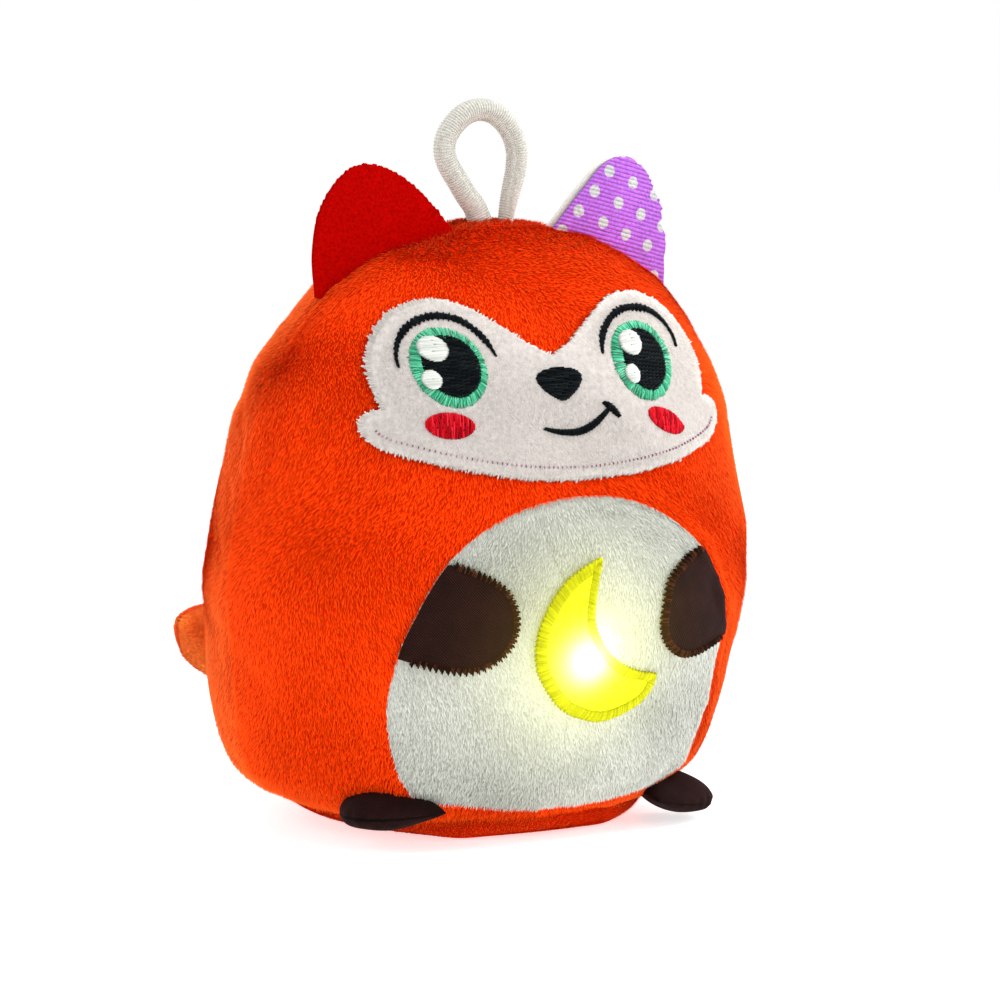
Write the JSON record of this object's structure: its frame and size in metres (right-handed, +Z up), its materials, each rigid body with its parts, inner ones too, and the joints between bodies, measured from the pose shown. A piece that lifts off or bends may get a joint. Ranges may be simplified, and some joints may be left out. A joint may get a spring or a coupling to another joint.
{
  "type": "plush night light",
  "caption": "Plush fox with a push-to-light moon on its belly, a base pouch with a battery light module, and a hanging loop.",
  "frame": {"origin": "on the floor under the middle of the body, on the flat of the base panel", "axes": "+Z up to the hanging loop, -Y the way the fox faces, +X the fox's left side"},
  "size_m": [0.135, 0.135, 0.1755],
  "materials": {
    "orange_plush": "short dense minky pile",
    "white_plush": "short dense minky pile",
    "brown_twill": "woven twill",
    "red_felt": "felted cloth",
    "dotted_ribbon": "ribbed ribbon with small white dots",
    "off_white_cloth": "plain knitted or woven cloth",
    "black_thread": "satin stitch",
    "green_thread": "satin stitch",
    "white_thread": "satin stitch",
    "red_thread": "satin stitch",
    "yellow_cloth": "satin cloth lit from behind",
    "fibre": "loose polyester fibre",
    "case_plastic": "moulded",
    "frosted_plastic": "frosted, light passes through",
    "silicone": "moulded silicone",
    "lit_lamp": "clear epoxy, lit",
    "circuit_board": "solder-masked laminate",
    "steel": "nickel plated",
    "cell_wrap": "plain shrink wrap",
    "black_plastic": "moulded"
  },
  "bodies": {
    "root": {"front_panel": "orange_plush", "back_panel": "orange_plush", "base_panel": "orange_plush", "belly_panel": "white_plush", "face_mask": "white_plush", "left_iris": "green_thread", "right_iris": "green_thread", "left_pupil": "black_thread", "right_pupil": "black_thread", "left_large_glint": "white_thread", "left_small_glint": "white_thread", "right_large_glint": "white_thread", "right_small_glint": "white_thread", "left_brow": "black_thread", "right_brow": "black_thread", "nose": "black_thread", "mouth": "black_thread", "left_cheek": "red_thread", "right_cheek": "red_thread", "moon_patch": "yellow_cloth", "left_arm": "brown_twill", "right_arm": "brown_twill", "left_foot": "brown_twill", "right_foot": "brown_twill", "left_ear_front": "dotted_ribbon", "left_ear_back": "off_white_cloth", "right_ear_front": "red_felt", "right_ear_back": "red_felt", "tail": "orange_plush", "body_filling": "fibre", "module_pouch": "off_white_cloth", "loop_strip": "off_white_cloth", "module_front_shell": "case_plastic", "module_rear_shell": "case_plastic", "case_screw_1": "steel", "case_screw_2": "steel", "case_screw_3": "steel", "case_screw_4": "steel", "return_ring": "silicone", "led": "lit_lamp", "circuit_board": "circuit_board", "power_switch": "black_plastic", "battery_left": "cell_wrap", "battery_right": "cell_wrap", "battery_spring_lower": "steel", "battery_spring_upper": "steel", "contact_bridge": "steel", "negative_terminal": "steel", "positive_terminal": "steel"},
    "light_button": {"light_button": "frosted_plastic"},
    "power_slider": {"power_slider": "black_plastic"},
    "battery_door": {"battery_door": "case_plastic"},
    "door_screw": {"door_screw": "steel"},
    "base_flap": {"base_flap": "orange_plush", "hook_strip": "off_white_cloth"},
    "hang_loop": {"hang_loop": "off_white_cloth"}
  },
  "joints": [
    {"name": "light_button_press", "type": "slide", "parent": "root", "child": "light_button", "axis": [0, 1, 0], "range_m": [0, 0.0015], "stiffness_N_per_m": 300, "springref_m": -0.001, "deforming": ["return_ring"]},
    {"name": "power_slide", "type": "slide", "parent": "root", "child": "power_slider", "axis": [1, 0, 0], "range_m": [0, 0.003]},
    {"name": "battery_door_slide", "type": "slide", "parent": "root", "child": "battery_door", "axis": [0, 0, -1], "range_m": [0, 0.012]},
    {"name": "door_screw_turn", "type": "hinge", "parent": "root", "child": "door_screw", "pos_m": [0, -0.0227, 0.073], "axis": [0, 1, 0], "continuous": true},
    {"name": "base_flap_hinge", "type": "hinge", "parent": "root", "child": "base_flap", "pos_m": [0, -0.0046, 0.0008], "axis": [1, 0, 0], "range_deg": [0, 100]},
    {"name": "hang_loop_bend", "type": "hinge", "parent": "root", "child": "hang_loop", "pos_m": [0, -0.00881, 0.1491], "axis": [1, 0, 0], "range_deg": [-60, 60], "stiffness_Nm_per_rad": 0.002}
  ]
}
